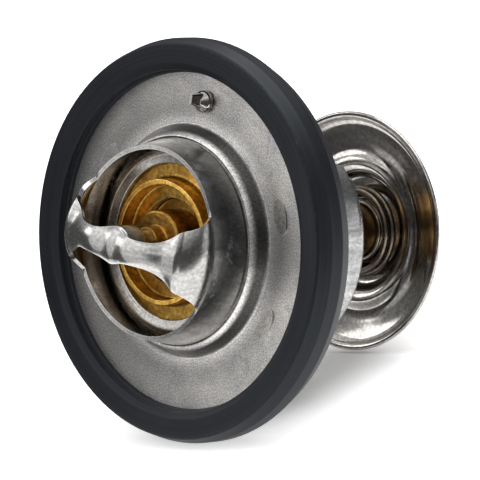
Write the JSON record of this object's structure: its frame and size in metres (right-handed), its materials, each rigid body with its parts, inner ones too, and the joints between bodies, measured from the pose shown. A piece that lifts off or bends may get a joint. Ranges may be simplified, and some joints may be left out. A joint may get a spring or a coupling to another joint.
{
  "type": "engine thermostat",
  "caption": "Round wax-element engine thermostat with a rubber edge seal, a pinched front bridge, a brass valve, a rear spring frame and a sprung bypass plate.",
  "frame": {"origin": "centre of the flange plate's front face, on the thermostat's axis and inside the seal's outer land", "axes": "+Z along the axis towards the bridge; X along the bridge strap; the vent pin lies on +Y"},
  "size_m": [0.0688, 0.0688, 0.0661],
  "materials": {
    "plate_steel": "matt fine-grained",
    "bright_steel": "bright drawn",
    "pin_steel": "polished",
    "spring_steel": "drawn wire",
    "brass": "satin",
    "seal_rubber": "satin moulded",
    "wax": "matt"
  },
  "bodies": {
    "housing": {"flange_plate": "plate_steel", "seal_ring": "seal_rubber", "valve_seat": "bright_steel", "bridge": "bright_steel", "rear_frame": "bright_steel", "piston": "pin_steel", "main_spring": "spring_steel"},
    "valve": {"main_valve": "brass", "element_cover": "brass", "element_cup": "brass", "rubber_sleeve": "seal_rubber", "wax_charge": "wax", "bypass_stem": "brass", "spring_collar": "brass", "retaining_clip": "spring_steel", "bypass_spring": "spring_steel"},
    "bypass": {"bypass_plate": "bright_steel"},
    "pin": {"vent_pin": "pin_steel"}
  },
  "joints": [
    {"name": "valve_slide", "type": "slide", "parent": "housing", "child": "valve", "axis": [0, 0, -1], "range_m": [0, 0.008], "stiffness_N_per_m": 1500, "springref_m": -0.004, "deforming": ["main_spring"]},
    {"name": "bypass_slide", "type": "slide", "parent": "valve", "child": "bypass", "axis": [0, 0, 1], "range_m": [0, 0.004], "stiffness_N_per_m": 300, "springref_m": -0.004, "deforming": ["bypass_spring"]},
    {"name": "vent_pin_slide", "type": "slide", "parent": "housing", "child": "pin", "axis": [0, 0, 1], "range_m": [0, 0.0011]}
  ]
}
